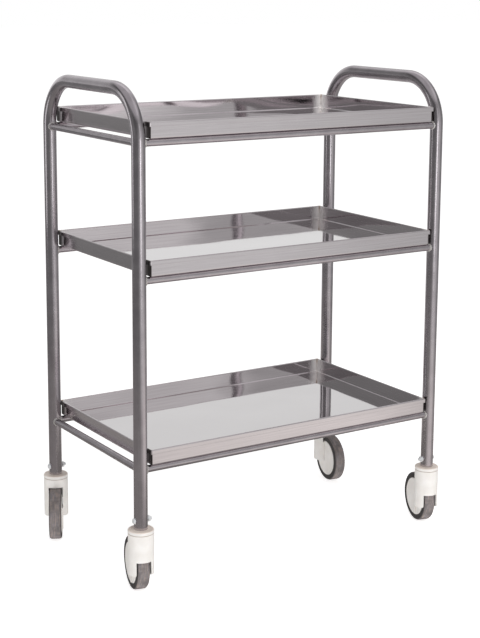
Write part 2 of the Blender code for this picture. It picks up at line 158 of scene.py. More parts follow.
# Beyond this the tyre's sides are painted darker as shade.
TYRE_SHADED_FLANK = (9.5 * MM, 12.2 * MM)  # where the tread turns into the side, from the wheel's middle

# Cross bolts.
BOLT_RADIUS = 3 * MM
BOLT_HOLE_RADIUS = 3.4 * MM
THREAD_PITCH = 1.0 * MM
THREAD_DEPTH = 0.35 * MM
THREAD_STANDOUT = 3.8 * MM
BOLT_HEAD_RADIUS = 5.5 * MM
BOLT_HEAD_HEIGHT = 4 * MM
NUT_CORNER_RADIUS = 5.8 * MM
NUT_HEIGHT = 5 * MM

CORNERS = ("front_left", "front_right", "back_left", "back_right")
LEVELS = ("bottom", "middle", "top")

# Camera: its place at the front left, its yaw, pitch and roll in degrees, and its long lens.
CAMERA_PLACE = (-1.538, -2.400, 1.107)
CAMERA_TURNS = (32.61, 10.04, 0.32)
CAMERA_LENS = 82.2
CAMERA_SHIFT_Y = -0.124

# The studio. Steel sees the room's horizon, as (compass angle from +X towards +Y, brightness).
HORIZON = (
    (-180, 0.22), (-160, 0.15), (-135, 0.15), (-118, 0.22), (-100, 0.40), (-78, 0.50), (-70, 0.60),
    (-62.8, 0.62), (-61.7, 0.38), (-53, 0.44), (-46, 0.32), (-28, 0.28), (-8, 0.22), (8, 0.24),
    (22, 0.56), (38, 0.80), (64, 0.82), (78, 0.90), (92, 0.92), (104, 0.85), (114, 0.52), (123, 0.38),
    (131, 0.20), (150, 0.12), (168, 0.16), (180, 0.22),
)
HORIZON_LEAN = (-0.285, -0.165)  # how far the bright panels lean over, as a shift of X and Y with height
ROOM_DIMMING = (0.08, 0.60)  # the heights on the unit sphere over which the room dims upwards
CEILING_SHARE = 0.55
CEILING_COLOUR = (0.34, 0.33, 0.34)
CEILING_EDGE = (0.52, 0.74)  # the height on the unit sphere where the ceiling's glow comes in
FLOOR_GLOW = 0.68
# The floor that steel sees, away from the cart in the same way, and next to it, where it is painted dark as
# the shade under the cart.
FLOOR_LIGHT = (
    (-180, 0.15), (-150, 0.15), (-125, 0.18), (-108, 0.45), (-92, 0.58), (-72, 0.56), (-58, 0.58),
    (-50, 0.44), (-30, 0.30), (0, 0.22), (25, 0.38), (60, 0.55), (95, 0.50), (112, 0.20), (124, 0.16),
    (140, 0.15), (180, 0.15),
)
FLOOR_NEAR_SHADE = (0.20, 0.19, 0.18)
FLOOR_SHADE_FADE = (0.25, 0.65)
# A warmer ring of floor round the cart, in the same way.
FLOOR_RING_LIGHT = (
    (-180, 0.24), (-125, 0.26), (-100, 0.44), (-82, 0.68), (-50, 0.74), (-36, 0.42), (-10, 0.30),
    (40, 0.40), (80, 0.52), (115, 0.26), (150, 0.22), (180, 0.24),
)
FLOOR_RING_TINT = (1.0, 0.955, 0.925)
FLOOR_RING_FADE = (1.0, 2.3)
SOFT_LIGHT = (0.45, 0.445, 0.44)
CARD_CORE = 0.4  # the share of a card's width that glows evenly
CARD_DIMMING = (0.62, 0.95)  # the heights over which a card goes from its lower to its upper level


# ---------------------------------------------------------------- shapes


def fillet(outline, closed=False, steps=5):
    """Rounds an outline's corners. Each point is (x, y) or (x, y, radius)."""
    count = len(outline)
    result = []
    for i, point in enumerate(outline):
        here = Vector(point[:2])
        radius = point[2] if len(point) > 2 else 0
        inside = closed or 0 < i < count - 1
        if not radius or not inside:
            result.append(tuple(here))
            continue
        before = Vector(outline[i - 1][:2]) - here
        after = Vector(outline[(i + 1) % count][:2]) - here
        half = before.angle(after) / 2
        centre = here + (before.normalized() + after.normalized()).normalized() * radius / math.sin(half)
        start = here + before.normalized() * radius / math.tan(half) - centre
        end = here + after.normalized() * radius / math.tan(half) - centre
        for step in range(steps + 1):
            share = step / steps
            swing = math.pi - 2 * half
            blend = start * math.sin((1 - share) * swing) + end * math.sin(share * swing)
            result.append(tuple(centre + blend / math.sin(swing)))
    return result


def turns(count):
    """Evenly spaced angles once round."""
    return [2 * math.pi * i / count for i in range(count)]


def placed(name, data):
    """A new object in the scene."""
    made = bpy.data.objects.new(name, data)
    bpy.context.scene.collection.objects.link(made)
    return made


def mesh_of(shape, name):
    """Ends a bmesh as a mesh with its faces turned outwards."""
    bmesh.ops.recalc_face_normals(shape, faces=shape.faces)
    mesh = bpy.data.meshes.new(name)
    shape.to_mesh(mesh)
    shape.free()
    return mesh


def modified(name, mesh, add_modifiers):
    """The mesh that a temporary object with these modifiers ends up with."""
    holder = placed(name, mesh)
    add_modifiers(holder)
    bpy.context.view_layer.update()
    evaluated = holder.evaluated_get(bpy.context.evaluated_depsgraph_get())
    result = bpy.data.meshes.new_from_object(evaluated)
    bpy.data.objects.remove(holder, do_unlink=True)
    result.name = name
    return result


def smooth(mesh, sharp_angle=35):
    """Shades the mesh smooth. Steep edges stay sharp, and wide faces stay flat up to their bends."""
    mesh.shade_smooth()
    mesh.set_sharp_from_angle(angle=math.radians(sharp_angle))

    def weigh(holder):
        weighted = holder.modifiers.new("weighted_normals", "WEIGHTED_NORMAL")
        weighted.mode = "FACE_AREA"
        weighted.weight = 100
        weighted.keep_sharp = True

    return modified(mesh.name, mesh, weigh)


def skin(shape, loops, close_around=True, close_along=False, bands=None):
    """Covers successive loops of points with quads. bands gives a material index for each strip."""
    rows = [[shape.verts.new(point) for point in loop] for loop in loops]
    last = len(rows) if close_along else len(rows) - 1
    for i in range(last):
        row, following = rows[i], rows[(i + 1) % len(rows)]
        around = len(row) if close_around else len(row) - 1
        for j in range(around):
            k = (j + 1) % len(row)
            face = shape.faces.new((row[j], row[k], following[k], following[j]))
            face.material_index = bands[i] if bands else 0
    return rows


def lathe(name, profile, segments, sharp_angle=35):
    """Turns (radius, height) points round Z. Points on the axis close the shape there."""
    shape = bmesh.new()
    rings = []
    for radius, height in profile:
        if radius < 1e-7:
            rings.append([shape.verts.new((0, 0, height))])
            continue
        points = [(radius * math.cos(a), radius * math.sin(a), height) for a in turns(segments)]
        rings.append([shape.verts.new(point) for point in points])
    ends_on_axis = len(rings[0]) == 1 and len(rings[-1]) == 1
    pairs = list(zip(rings, rings[1:]))
    if not ends_on_axis:
        pairs.append((rings[-1], rings[0]))
    for ring, following in pairs:
        for i in range(segments):
            k = (i + 1) % segments
            corners = [ring[i % len(ring)], ring[k % len(ring)]]
            corners += [following[k % len(following)], following[i % len(following)]]
            corners = list(dict.fromkeys(corners))
            if len(corners) > 2:
                shape.faces.new(corners)
    return smooth(mesh_of(shape, name), sharp_angle)


def box_mesh(low, high):
    low, high = Vector(low), Vector(high)
    shape = bmesh.new()
    bmesh.ops.create_cube(shape, size=1.0)
    bmesh.ops.scale(shape, vec=high - low, verts=shape.verts)
    bmesh.ops.translate(shape, vec=(low + high) / 2, verts=shape.verts)
    return mesh_of(shape, "box")


def rod_mesh(radius, low, high, segments):
    """A plain cylinder between two points, used as a cutter."""
    low, high = Vector(low), Vector(high)
    shape = bmesh.new()
    bmesh.ops.create_cone(
        shape, cap_ends=True, segments=segments, radius1=radius, radius2=radius, depth=(high - low).length
    )
    turn = (high - low).to_track_quat("Z", "Y").to_matrix()
    bmesh.ops.rotate(shape, cent=(0, 0, 0), matrix=turn, verts=shape.verts)
    bmesh.ops.translate(shape, vec=(low + high) / 2, verts=shape.verts)
    return mesh_of(shape, "rod")


def slab_mesh(outline, half_width):
    """A flat outline of (x, z) points as a slab along Y."""
    shape = bmesh.new()
    face = shape.faces.new([shape.verts.new((x, -half_width, z)) for x, z in outline])
    grown = bmesh.ops.extrude_face_region(shape, geom=[face])
    moved = [item for item in grown["geom"] if isinstance(item, bmesh.types.BMVert)]
    bmesh.ops.translate(shape, vec=(0, 2 * half_width, 0), verts=moved)
    return mesh_of(shape, "slab")


def carve(name, mesh, steps, edge=0.0, sharp_angle=35):
    """Applies (operation, mesh) Booleans in order, then rounds the edges."""
    tools = [placed("tool", tool_mesh) for _, tool_mesh in steps]

    def add_steps(holder):
        for (operation, _), tool in zip(steps, tools):
            boolean = holder.modifiers.new(operation.lower(), "BOOLEAN")
            boolean.operation = operation
            boolean.solver = "EXACT"
            boolean.object = tool
        if edge:
            bevel = holder.modifiers.new("edges", "BEVEL")
            bevel.width = edge
            bevel.segments = 3
            bevel.limit_method = "ANGLE"
            bevel.angle_limit = math.radians(sharp_angle)

    result = modified(name, mesh, add_steps)
    for tool in tools:
        bpy.data.objects.remove(tool, do_unlink=True)
    return smooth(result, sharp_angle)


# ---------------------------------------------------------------- materials


class Nodes:
    """Short ways to build a node tree."""

    def __init__(self, tree):
        self.tree = tree

    def plug(self, item, socket):
        """Links an output to a socket, or sets the socket's value."""
        if isinstance(item, bpy.types.NodeSocket):
            self.tree.links.new(item, socket)
        else:
            socket.default_value = item

    def node(self, kind, **settings):
        made = self.tree.nodes.new(kind)
        for name, value in settings.items():
            setattr(made, name, value)
        return made

    def fill(self, node, **items):
        """Plugs items into a node's inputs by name."""
        for name, item in items.items():
            self.plug(item, node.inputs[name])

    def wired(self, kind, *inputs, **settings):
        """A node with its first inputs plugged in order."""
        made = self.node(kind, **settings)
        for item, socket in zip(inputs, made.inputs):
            self.plug(item, socket)
        return made

    def value(self, operation, *inputs):
        """A Math node over outputs and numbers."""
        return self.wired("ShaderNodeMath", *inputs, operation=operation).outputs[0]

    def times(self, first, second):
        return self.value("MULTIPLY", first, second)

    def plus(self, first, second):
        return self.value("ADD", first, second)

    def minus(self, first, second):
        return self.value("SUBTRACT", first, second)

    def vector(self, operation, first, second):
        """A Vector Math node. A single number counts for all three axes."""
        return self.wired("ShaderNodeVectorMath", first, second, operation=operation).outputs[0]

    def choice(self, factor, first, second):
        """The shader between two shader nodes."""
        return self.wired("ShaderNodeMixShader", factor, first.outputs[0], second.outputs[0])

    def place(self, scale=(1, 1, 1), source="Object"):
        """Texture coordinates in metres, stretched by scale."""
        coordinates = self.node("ShaderNodeTexCoord")
        mapping = self.node("ShaderNodeMapping")
        mapping.inputs["Scale"].default_value = scale
        self.tree.links.new(coordinates.outputs[source], mapping.inputs["Vector"])
        return mapping.outputs[0]

    def axes(self, source="Object"):
        coordinates = self.node("ShaderNodeTexCoord")
        return self.wired("ShaderNodeSeparateXYZ", coordinates.outputs[source]).outputs

    def joined(self, x, y, z):
        return self.wired("ShaderNodeCombineXYZ", x, y, z).outputs[0]

    def noise(self, vector, scale=1.0, detail=2.0, roughness=0.5):
        made = self.node("ShaderNodeTexNoise")
        self.fill(made, Vector=vector, Scale=scale, Detail=detail, Roughness=roughness)
        return made.outputs["Fac"]

    def remap(self, source, low, high, start=0.0, end=1.0, change="SMOOTHSTEP"):
        """Maps source from start..end to low..high, clamped."""
        made = self.wired("ShaderNodeMapRange", source, start, end, low, high, interpolation_type=change)
        return made.outputs["Result"]

    def mixed(self, factor, first, second):
        """A colour between two colours, each a triple or an output."""
        made = self.node("ShaderNodeMix", data_type="RGBA")
        self.plug(factor, made.inputs["Factor"])
        for name, item in (("A", first), ("B", second)):
            socket = [s for s in made.inputs if s.name == name and s.type == "RGBA"][0]
            self.plug((*item, 1) if isinstance(item, tuple) else item, socket)
        return [s for s in made.outputs if s.type == "RGBA"][0]

    def by_compass(self, levels, x, y):
        """Brightness by the compass angle of (x, y), from a table of (degrees, level)."""
        angle = self.value("ARCTAN2", y, x)
        turn = self.remap(angle, 0, 1, -math.pi, math.pi, "LINEAR")
        ramp = self.wired("ShaderNodeValToRGB", turn)
        ramp.color_ramp.interpolation = "EASE"
        elements = ramp.color_ramp.elements
        while len(elements) < len(levels):
            elements.new(0.5)
        for element, (degrees, level) in zip(elements, levels):
            element.position = (degrees + 180) / 360
            element.color = (level, level, level, 1)
        return ramp.outputs["Color"]


class Surface(Nodes):
    """A node material in the making: a Principled shader and short ways to feed it."""

    def __init__(self, name, **values):
        self.material = bpy.data.materials.new(name)
        self.material.use_nodes = True
        super().__init__(self.material.node_tree)
        self.shader = self.tree.nodes["Principled BSDF"]
        for socket, value in values.items():
            self.set(socket.replace("_", " "), value)

    def set(self, socket, value):
        names = {name.lower(): name for name in self.shader.inputs.keys()}
        self.shader.inputs[names[socket.lower()]].default_value = value

    def feed(self, socket, output):
        self.tree.links.new(output, self.shader.inputs[socket])

    def bumps(self, *layers):
        """Stacks bump layers, each (height output, strength, distance)."""
        normal = None
        for height, strength, distance in layers:
            bump = self.node("ShaderNodeBump")
            self.fill(bump, Strength=strength, Distance=distance, Height=height)
            if normal:
                self.fill(bump, Normal=normal)
            normal = bump.outputs[0]
        self.feed("Normal", normal)


def tube_steel():
    """Satin stainless tube: fine grain, faint streaks along the tube, cloudy roughness."""
    s = Surface("tube_steel", metallic=1.0)
    grain = s.noise(s.place(), 1100, 2)
    cloud = s.noise(s.place(), 38, 3)
    streak = s.noise(s.place((2200, 10, 1), source="UV"), 1.0, 2)
    shade = s.remap(s.plus(cloud, streak), 0, 1, 0.7, 1.3)
    s.feed("Base Color", s.mixed(shade, (0.565, 0.522, 0.552), (0.665, 0.622, 0.652)))
    s.feed("Roughness", s.plus(s.remap(cloud, 0.17, 0.22, 0.3, 0.7), s.remap(grain, 0, 0.02, 0.3, 0.7)))
    s.bumps((grain, 0.02, 0.00002), (streak, 0.04, 0.00002), (cloud, 0.10, 0.0003))
    return s.material


def brushed_lines(s, x, y, z):
    """Fine scratches that run round the tray, level with its floor."""
    along = s.times(s.plus(x, y), 7)
    fine = s.noise(s.joined(along, s.times(z, 2600), 0), 1.0, 2, 0.6)
    coarse = s.noise(s.joined(along, s.times(z, 420), 3), 1.0, 2, 0.6)
    return fine, coarse


def from_tray_edges(s, x, y, half_length, half_depth):
    """How far a point is from the tray's nearer end and from its nearer long side."""
    from_end = s.minus(half_length, s.value("ABSOLUTE", x))
    return from_end, s.minus(half_depth, s.value("ABSOLUTE", y))


def tray_outer_steel(half_length, half_depth):
    """The outside of the walls and the hem: brushed sheet, dull and dark beside the posts, where a painted
    dark strip stands in for the post's shade and its dark reflection.
    """
    s = Surface("tray_outer_steel", metallic=1.0)
    x, y, z = s.axes()
    fine, coarse = brushed_lines(s, x, y, z)
    cloud = s.noise(s.place((1, 1, 2)), 22, 3)
    steel = s.mixed(s.remap(coarse, 0, 1, 0.25, 0.75), (0.80, 0.752, 0.770), (0.87, 0.822, 0.840))
    from_end, from_side = from_tray_edges(s, x, y, half_length, half_depth)
    on_end_wall = s.remap(from_end, 1, 0, *POST_SHADE_FROM_END)
    starts, stops = s.remap(from_side, 0, 1, *POST_SHADE_FRONT_EDGE), s.remap(from_side, 1, 0, *POST_SHADE_BACK_EDGE)
    # Painted shade: a near-black strip on the end walls beside the posts, standing in for the post's shade
    # and dark reflection.
    painted_shade = s.times(on_end_wall, s.times(starts, stops))
    s.feed("Base Color", s.mixed(s.times(painted_shade, 0.93), steel, (0.045, 0.036, 0.032)))
    roughness = s.plus(s.remap(cloud, 0.12, 0.17, 0.3, 0.7), s.remap(fine, 0, 0.05))
    s.feed("Roughness", s.plus(roughness, s.times(painted_shade, 0.2)))
    s.bumps((fine, 0.3, 0.00006), (coarse, 0.12, 0.0001), (cloud, 0.15, 0.0003))
    return s.material


def tray_inner_steel(half_length, half_depth):
    """The inside of the walls: bright sheet, a little wavy. Each corner's weld is ground and polished over.
    That band is painted near white and made mostly diffuse as a painted highlight, with a trace of heat
    tint in the corner itself.
    """
    s = Surface("tray_inner_steel")
    x, y, z = s.axes()
    fine, coarse = brushed_lines(s, x, y, z)
    from_end, from_side = from_tray_edges(s, x, y, half_length, half_depth)
    from_corner = s.plus(from_end, from_side)
    patches = s.noise(s.place((1, 1, 0.3)), 110, 2)
    ground_highlight = s.remap(s.minus(from_corner, s.times(patches, 0.020)), 1, 0, *GROUND_HIGHLIGHT_BAND)
    seam = s.remap(s.minus(from_corner, s.times(patches, 0.002)), 1, 0, *WELD_TINT)
    steel = s.mixed(s.remap(coarse, 0, 1, 0.25, 0.75), (0.81, 0.765, 0.785), (0.89, 0.845, 0.865))
    # Painted highlight: near each corner the ground band is mixed to near white, standing in for the bright
    # reflections there.
    highlighted_steel = s.mixed(s.times(ground_highlight, 0.9), steel, (0.98, 0.96, 0.95))
    tint = s.times(seam, s.remap(patches, 0.1, 0.8, 0.35, 0.6))
    s.feed("Base Color", s.mixed(tint, highlighted_steel, (0.38, 0.22, 0.12)))
    # Less metal in the ground band, so its painted near white shows as a diffuse highlight.
    s.feed("Metallic", s.minus(1.0, s.times(ground_highlight, 0.85)))
    s.feed("Roughness", s.plus(s.remap(fine, 0.02, 0.05), s.times(ground_highlight, 0.2)))
    wave = s.noise(s.place((1, 1, 3)), 8, 0)
    s.bumps((wave, 1.0, 0.0009), (fine, 0.12, 0.00004), (coarse, 0.06, 0.00005))
    return s.material


def tray_floor_steel():
    """Mirror-polished sheet, a little wavy, with faint wiping marks."""
    s = Surface("tray_floor_steel", metallic=1.0)
    wave = s.noise(s.place((1, 1.4, 1)), 5, 1)
    wipe = s.noise(s.place((60, 7, 1)), 1.0, 4, 0.6)
    haze = s.noise(s.place(), 9, 3)
    s.feed("Base Color", s.mixed(haze, (0.87, 0.845, 0.85), (0.93, 0.905, 0.91)))
    s.feed("Roughness", s.plus(s.remap(haze, 0.03, 0.055), s.remap(wipe, 0.0, 0.025, 0.4, 0.75)))
    s.bumps((wave, 0.35, 0.0022))
    return s.material


def weld_metal():
    """Bright weld metal with a faint straw tint."""
    s = Surface("weld_metal", metallic=0.8)
    cloud = s.noise(s.place(), 420, 3)
    s.feed("Base Color", s.mixed(s.remap(cloud, 0, 1, 0.35, 0.7), (0.95, 0.94, 0.93), (0.70, 0.66, 0.62)))
    s.feed("Roughness", s.remap(cloud, 0.16, 0.34))
    s.bumps((s.noise(s.place(), 900, 2), 0.25, 0.0002))
    return s.material


def bolt_steel():
    """Bright zinc plating with fine pitting."""
    s = Surface("bolt_steel", metallic=0.45)
    cloud = s.noise(s.place(), 300, 3)
    s.feed("Base Color", s.mixed(cloud, (0.78, 0.80, 0.82), (0.93, 0.95, 0.97)))
    s.feed("Roughness", s.remap(cloud, 0.24, 0.38))
    s.bumps((s.noise(s.place(), 1400, 2), 0.12, 0.0001))
    return s.material


def machined_steel():
    """Turned steel, with fine rings left by the tool."""
    s = Surface("machined_steel", metallic=1.0)
    z = s.axes()[2]
    rings = s.noise(s.joined(0, 0, s.times(z, 2500)), 1.0, 2)
    s.feed("Base Color", s.mixed(rings, (0.42, 0.42, 0.43), (0.62, 0.62, 0.63)))
    s.feed("Roughness", s.remap(rings, 0.25, 0.42))
    s.bumps((rings, 0.2, 0.0001))
    return s.material


def moulded_plastic(name, light, dark, scuff):
    """Off-white nylon: a faint moulded grain, cloudy colour and light scuffs.

    Painted shade darkens the line between collar and housing, and in blotches the collar's top round the
    tube. Its top face is painted warmer, as light falling on it.
    """
    s = Surface(name, subsurface_weight=0.06, subsurface_scale=0.002, ior=1.5)
    s.set("subsurface radius", (1.0, 0.85, 0.7))
    cloud = s.noise(s.place(), 40, 3)
    grain = s.noise(s.place(), 1700, 2)
    scratches = s.remap(s.noise(s.place((900, 900, 60)), 1.0, 4, 0.65), 0, 1, 0.66, 0.78)
    colour = s.mixed(s.remap(cloud, 0, 1, 0.3, 0.7), light, dark)
    scuffed = s.mixed(s.times(scratches, 0.5), colour, scuff)
    z = s.axes()[2]
    off_joint = s.value("ABSOLUTE", s.minus(z, JOINT_LINE_Z))
    # Painted shade: the joint line between collar and housing is darkened towards brown.
    joint_shade = s.times(s.remap(off_joint, 1, 0, *JOINT_SHADE), 0.8)
    # Painted shade: the collar's top is darkened a little, in blotches.
    top_shade = s.times(s.remap(z, 0, 1, *COLLAR_TOP_SHADE), s.remap(cloud, 0.0, 0.14, 0.3, 0.7))
    painted_shade = s.value("MAXIMUM", joint_shade, top_shade)
    # Painted light: the collar's top face is turned warmer, as light falling on it.
    lit_top = s.mixed(s.remap(z, 0, 0.9, *COLLAR_TOP_LIGHT), scuffed, LIT_TOP_CREAM)
    s.feed("Base Color", s.mixed(painted_shade, lit_top, PAINTED_SHADE_BROWN))
    s.feed("Roughness", s.plus(s.remap(cloud, 0.33, 0.42), s.times(scratches, 0.12)))
    s.bumps((grain, 0.10, 0.00008), (cloud, 0.10, 0.0005))
    return s.material


def tyre_rubber():
    """Grey-brown rubber: a dusty tread, sides painted darker as shade, and a fine moulded texture.

    Z is the wheel's axis, so the distance from it tells the tread from the sides.
    """
    s = Surface("tyre_rubber", ior=1.48)
    x, y, z = s.axes()
    # The sides, painted darker as shade, are told from the tread by distance along Z.
    side = s.remap(s.value("ABSOLUTE", z), 0, 1, *TYRE_SHADED_FLANK)
    cloud = s.noise(s.place(), 70, 4, 0.6)
    radius = s.value("SQRT", s.plus(s.times(x, x), s.times(y, y)))
    angle = s.value("ARCTAN2", y, x)
    around = s.joined(s.times(angle, 2.2), s.times(z, 420), 0)
    wear = s.noise(around, 1.0, 3)
    tint = s.mixed(s.remap(wear, 0, 1, 0.42, 0.6), (0.37, 0.345, 0.37), (0.41, 0.335, 0.30))
    streaks = s.remap(s.times(cloud, wear), 0.08, 0.62, 0.14, 0.38)
    tread = s.mixed(streaks, (0.14, 0.122, 0.120), tint)
    # Painted shade: the tyre's sides are far darker than its tread, as sides turned away from the light.
    shaded_flank = s.mixed(cloud, (0.030, 0.027, 0.028), (0.062, 0.056, 0.056))
    s.feed("Base Color", s.mixed(side, tread, shaded_flank))
    s.feed("Roughness", s.remap(wear, 0.46, 0.66))
    rings = s.noise(s.joined(s.times(radius, 900), 0, 0), 1.0, 1)
    s.bumps((s.noise(s.place(), 1300, 3), 0.25, 0.0002), (rings, 0.08, 0.0002), (wear, 0.15, 0.0003))
    return s.material


# ---------------------------------------------------------------- pieces


def add(name, mesh, material, body, place=None, nodes=()):
    """Puts a piece in place, hangs it on the body it rides on, and hides the CAD nodes it stands for."""
    materials = material if isinstance(material, (list, tuple)) else [material]
    if not mesh.materials:
        for item in materials:
            mesh.materials.append(item)
    piece = placed(name, mesh)
    if place is not None:
        piece.matrix_world = place
    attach(piece, body)
    if nodes:
        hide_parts(*nodes)
    return piece


def joint(name):
    return next(j for j in frame["joints"] if j["name"] == name)


def middle(node):
    low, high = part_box(node)
    return (low + high) / 2


def caster_places(corner):
    """The matrices from a caster's own axes, and from its wheel's, to where they stand at rest.

    The wheel trails towards the caster's +X, and its axle lies along its own Z.
    """
    pivot = Vector(joint(f"{corner}_swivel")["pos_m"])
    wheel = Vector(joint(f"{corner}_wheel_spin")["pos_m"])
    direction = math.atan2(wheel.y - pivot.y, wheel.x - pivot.x)
    swivel = Matrix.Translation((pivot.x, pivot.y, 0)) @ Matrix.Rotation(direction, 4, "Z")
    trail = (wheel - pivot).xy.length
    local = Matrix.Translation((trail, 0, wheel.z)) @ Matrix.Rotation(math.radians(90), 4, "X")
    return swivel, swivel @ local


# Frame sizes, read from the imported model.
frame_low, frame_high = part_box("side_frame_left")
TUBE_RADIUS = (frame_high.x - frame_low.x) / 2
POST_Y = frame_high.y - TUBE_RADIUS
HANDLE_Z = frame_high.z - TUBE_RADIUS
POST_BOTTOM_Z = frame_low.z
POST_X = {side: middle(f"side_frame_{side}").x for side in ("left", "right")}
rail_low, rail_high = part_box("middle_rail_front")
RAIL_RADIUS = (rail_high.z - rail_low.z) / 2
BOLT_Z = middle("front_left_bolt_nut").z


def side_frame_path():
    """The tube's centre line in the YZ plane, with the direction it runs in, as (y, z, angle)."""
    bend_z = HANDLE_Z - BEND_RADIUS
    bend_y = POST_Y - BEND_RADIUS
    path = [(-POST_Y, POST_BOTTOM_Z, 90.0), (-POST_Y, (POST_BOTTOM_Z + bend_z) / 2, 90.0)]
    for i in range(BEND_STEPS + 1):
        turn = 90.0 * i / BEND_STEPS
        a = math.radians(180 - turn)
        path.append((-bend_y + BEND_RADIUS * math.cos(a), bend_z + BEND_RADIUS * math.sin(a), 90 - turn))
    path.append((0, HANDLE_Z, 0.0))
    return path + [(-y, z, -angle) for y, z, angle in reversed(path[:-1])]


def side_frame_mesh():
    shape = bmesh.new()
    path = side_frame_path()
    across = Vector((1, 0, 0))

    def rings(radius, stations):
        made = []
        for y, z, heading in stations:
            tilt = math.radians(heading)
            out = Vector((0, -math.sin(tilt), math.cos(tilt)))
            centre = Vector((0, y, z))
            around = [math.cos(a) * across + math.sin(a) * out for a in turns(TUBE_SIDES)]
            made.append([centre + radius * spoke for spoke in around])
        return made

    outer = rings(TUBE_RADIUS, path)
    inner = rings(TUBE_RADIUS - TUBE_WALL, reversed(path))
    skin(shape, outer + inner, close_along=True)
    lay_tube_uv(shape, path)
    tube = mesh_of(shape, "side_frame")
    reach = BOLT_CUTTER_REACH
    holes = [
        ("DIFFERENCE", rod_mesh(BOLT_HOLE_RADIUS, (-reach, y, BOLT_Z), (reach, y, BOLT_Z), 24))
        for y in (-POST_Y, POST_Y)
    ]
    return carve("side_frame", tube, holes)


def lay_tube_uv(shape, path):
    """Unrolls the tube in metres: U runs round it and V along it."""
    lengths = [0.0]
    for (y0, z0, _), (y1, z1, _) in zip(path, path[1:]):
        lengths.append(lengths[-1] + math.hypot(y1 - y0, z1 - z0))
    stations = lengths + list(reversed(lengths))
    shape.verts.ensure_lookup_table()
    shape.verts.index_update()
    uv = shape.loops.layers.uv.new("unrolled")
    girth = 2 * math.pi * TUBE_RADIUS
    for face in shape.faces:
        columns = [vert.index % TUBE_SIDES for vert in face.verts]
        wraps = max(columns) - min(columns) > 1
        for loop, column in zip(face.loops, columns):
            if wraps and column == 0:
                column = TUBE_SIDES
            loop[uv].uv = (girth * column / TUBE_SIDES, stations[loop.vert.index // TUBE_SIDES])


def rail_mesh(half_span):
    """A round bar along X, each end hollowed to fit the post's round side."""
    shape = bmesh.new()
    ends = []
    for side in (-1, 1):
        ring = []
        for a in turns(RAIL_SIDES):
            y, z = RAIL_RADIUS * math.cos(a), RAIL_RADIUS * math.sin(a)
            reach = half_span - math.sqrt(TUBE_RADIUS**2 - y**2) + RAIL_BITE
            ring.append((side * reach, y, z))
        ends.append(ring)
    rows = skin(shape, [ends[0], [(0, y, z) for _, y, z in ends[0]], ends[1]])
    for ring, side in ((rows[0], -1), (rows[-1], 1)):
        hub = shape.verts.new((side * (half_span - TUBE_RADIUS + RAIL_BITE), 0, 0))
        for i in range(RAIL_SIDES):
            shape.faces.new((ring[i], ring[(i + 1) % RAIL_SIDES], hub))
    uv = shape.loops.layers.uv.new("unrolled")
    for face in shape.faces:
        for loop in face.loops:
            x, y, z = loop.vert.co
            loop[uv].uv = (math.atan2(z, y) * RAIL_RADIUS, x)
    return smooth(mesh_of(shape, "rail"))


def bead_mesh(variant):
    """A weld bead round a rail's end. The post's axis is Z at the origin, and the rail leaves along +X."""
    shape = bmesh.new()
    loops = []
    for a in turns(BEAD_STEPS):
        out = Vector((0, math.cos(a), math.sin(a)))
        root = Vector((0, RAIL_RADIUS * out.y, RAIL_RADIUS * out.z))
        root.x = math.sqrt(TUBE_RADIUS**2 - root.y**2)
        lumps = 0.10 * math.sin(11 * a + variant) + 0.08 * math.sin(23 * a + 2.1 * variant)
        heap = 0.22 * max(0.0, math.sin(a + 0.7 * variant + 0.6))
        radius = BEAD_RADIUS * (0.86 + lumps + heap)
        centre = root + (out + Vector((0.6, 0, 0))) * 0.22 * radius
        around = [math.cos(t) * out + math.sin(t) * Vector((1, 0, 0)) for t in turns(BEAD_SIDES)]
        loops.append([centre + radius * spoke for spoke in around])
    skin(shape, loops, close_along=True)
    return smooth(mesh_of(shape, f"bead_{variant}"), sharp_angle=80)


def tray_mesh(length, depth, height):
    """Folded sheet: rounded rectangles, one for each point of the wall's section."""
    wall_out, wall_in = HEM_WIDTH, HEM_WIDTH + TRAY_SHEET
    rim = wall_in / 2
    hem_bottom = height - HEM_HEIGHT
    outer_bend, inner_bend = TRAY_BEND + TRAY_SHEET, TRAY_BEND
    # The section, as (inset from the tray's outer edge, height, rounding), from under to inside.
    section = fillet(
        [
            (wall_out + TRAY_FLOOR_BAND, 0), (wall_out, 0, outer_bend),
            (wall_out, hem_bottom + HEM_GROOVE_DEPTH, 0.2 * MM),
            (TRAY_SHEET, hem_bottom + HEM_GROOVE_DEPTH, 0.2 * MM),
            (TRAY_SHEET, hem_bottom, 0.45 * MM), (0, hem_bottom, 0.45 * MM),
            (0, height, rim * 0.98), (wall_in, height, rim * 0.98),
            (wall_in, TRAY_SHEET, inner_bend), (wall_in + TRAY_FLOOR_BAND, TRAY_SHEET),
        ],
        steps=6,
    )
    shape = bmesh.new()
    loops = []
    for inset, z in section:
        radius = max(TRAY_CORNER - inset, TRAY_INNER_CORNER)
        loops.append(rounded_rectangle(length / 2 - inset, depth / 2 - inset, radius, z))
    top = max(range(len(section)), key=lambda i: section[i][1])
    bands = [0] * top + [1] * (len(section) - 1 - top)
    bands[-1] = 2
    rows = skin(shape, loops, bands=bands)
    shape.faces.new(list(reversed(rows[0])))
    floor = shape.faces.new(rows[-1])
    floor.material_index = 2
    return smooth(mesh_of(shape, "tray"), sharp_angle=50)


def rounded_rectangle(half_x, half_y, radius, z, steps=6):
    points = []
    for quarter, (sx, sy) in enumerate(((1, 1), (-1, 1), (-1, -1), (1, -1))):
        for i in range(steps + 1):
            a = math.radians(90 * quarter + 90 * i / steps)
            x = sx * (half_x - radius) + radius * math.cos(a)
            y = sy * (half_y - radius) + radius * math.sin(a)
            points.append((x, y, z))
    return points


